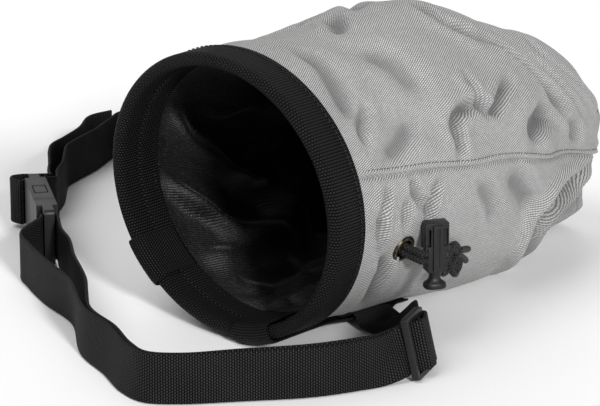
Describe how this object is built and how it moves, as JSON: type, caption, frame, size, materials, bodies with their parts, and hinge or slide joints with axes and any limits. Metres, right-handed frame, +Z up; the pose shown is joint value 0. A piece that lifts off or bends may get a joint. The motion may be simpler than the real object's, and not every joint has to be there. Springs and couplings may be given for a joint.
{
  "type": "climbing chalk bag",
  "caption": "Soft round-mouthed bag for climbing chalk, with a plush lining, a stiff bound rim, a webbing waist belt with buckle and slider, and a drawcord with a spring lock.",
  "frame": {"origin": "on the surface that the bag lies on, on the flat patch under the bag's axis", "axes": "+Z up, +X from the mouth to the closed end, the eyelet and its drawcord on the -Y side"},
  "size_m": [0.2819, 0.3046, 0.1191],
  "materials": {
    "shell_twill": "matte fine twill",
    "lining_plush": "soft short pile",
    "webbing": "ribbed woven webbing",
    "plastic": "satin moulded",
    "dark_brass": "antique, worn",
    "braid": "braided cord"
  },
  "bodies": {
    "bag": {"body_shell": "shell_twill", "lining": "lining_plush", "rim_binding": "webbing", "belt_loop_near": "webbing", "belt_loop_far": "webbing", "waist_belt": "webbing", "belt_slider": "plastic", "buckle_plug": "plastic", "buckle_socket": "plastic", "eyelet": "dark_brass", "lock_body": "plastic", "drawcord_upper": "braid", "drawcord_lower": "braid", "cord_knot": "braid"},
    "plunger": {"lock_plunger": "plastic"}
  },
  "joints": [
    {"name": "plunger_press", "type": "slide", "parent": "bag", "child": "plunger", "axis": [0, 0, 1], "range_m": [0, 0.0036], "stiffness_N_per_m": 400}
  ]
}
